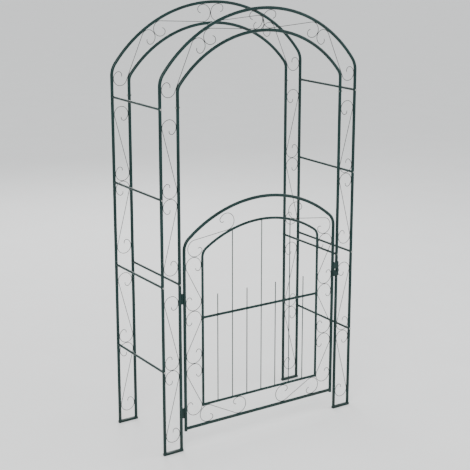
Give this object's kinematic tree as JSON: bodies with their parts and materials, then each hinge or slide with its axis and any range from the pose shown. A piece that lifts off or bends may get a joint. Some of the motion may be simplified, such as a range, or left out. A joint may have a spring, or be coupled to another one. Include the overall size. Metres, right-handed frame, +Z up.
{
  "type": "garden arch with gate",
  "caption": "Free-standing garden arch of green painted steel tube with scrolled wire panels, side bars and a bowed swinging gate with a turn latch.",
  "frame": {"origin": "on the ground at the middle of the arch", "axes": "+Z up, +Y from the gate side to the back, +X to the right when facing the gate"},
  "size_m": [1.15, 0.4911, 2.15],
  "materials": {
    "green_paint": "semi-gloss powder coat",
    "painted_wire": "semi-gloss powder coat on thin wire",
    "plated_steel": "dull plated steel"
  },
  "bodies": {
    "frame": {"front_left_lower_outer_rail": "green_paint", "front_left_lower_inner_rail": "green_paint", "front_left_upper_outer_rail": "green_paint", "front_left_upper_inner_rail": "green_paint", "front_right_lower_outer_rail": "green_paint", "front_right_lower_inner_rail": "green_paint", "front_right_upper_outer_rail": "green_paint", "front_right_upper_inner_rail": "green_paint", "back_left_lower_outer_rail": "green_paint", "back_left_lower_inner_rail": "green_paint", "back_left_upper_outer_rail": "green_paint", "back_left_upper_inner_rail": "green_paint", "back_right_lower_outer_rail": "green_paint", "back_right_lower_inner_rail": "green_paint", "back_right_upper_outer_rail": "green_paint", "back_right_upper_inner_rail": "green_paint", "foot_bars": "green_paint", "front_left_leg_scrolls": "painted_wire", "front_right_leg_scrolls": "painted_wire", "back_left_leg_scrolls": "painted_wire", "back_right_leg_scrolls": "painted_wire", "front_left_outer_bow": "green_paint", "front_left_inner_bow": "green_paint", "front_right_outer_bow": "green_paint", "front_right_inner_bow": "green_paint", "back_left_outer_bow": "green_paint", "back_left_inner_bow": "green_paint", "back_right_outer_bow": "green_paint", "back_right_inner_bow": "green_paint", "front_arch_scrolls": "painted_wire", "back_arch_scrolls": "painted_wire", "left_lower_bar": "green_paint", "left_middle_outer_bar": "green_paint", "left_middle_inner_bar": "green_paint", "left_upper_bar": "green_paint", "left_top_bar": "green_paint", "right_lower_bar": "green_paint", "right_middle_outer_bar": "green_paint", "right_middle_inner_bar": "green_paint", "right_upper_bar": "green_paint", "right_top_bar": "green_paint", "cross_bar_bolts": "plated_steel", "cross_bar_inserts": "plated_steel", "rail_joint_bolts": "plated_steel", "rail_joint_nuts": "plated_steel", "leg_hinge_knuckles": "green_paint", "hinge_pins": "plated_steel", "latch_keeper": "green_paint"},
    "gate": {"gate_outer_frame": "green_paint", "gate_bottom_rail": "green_paint", "gate_inner_frame": "green_paint", "gate_inner_bottom_rail": "green_paint", "gate_cross_rail": "green_paint", "gate_long_bars": "green_paint", "gate_short_bars": "green_paint", "gate_scrolls": "painted_wire", "gate_hinge_knuckles": "green_paint", "latch_bracket": "green_paint", "latch_pivot": "plated_steel"},
    "latch": {"latch_bar": "green_paint"}
  },
  "joints": [
    {"name": "gate_swing", "type": "hinge", "parent": "frame", "child": "gate", "pos_m": [-0.46, -0.232, 0], "axis": [0, 0, 1], "range_deg": [-85, 80]},
    {"name": "latch_turn", "type": "hinge", "parent": "gate", "child": "latch", "pos_m": [0.452, -0.2435, 0.783], "axis": [0, 1, 0], "range_deg": [0, 90]}
  ]
}
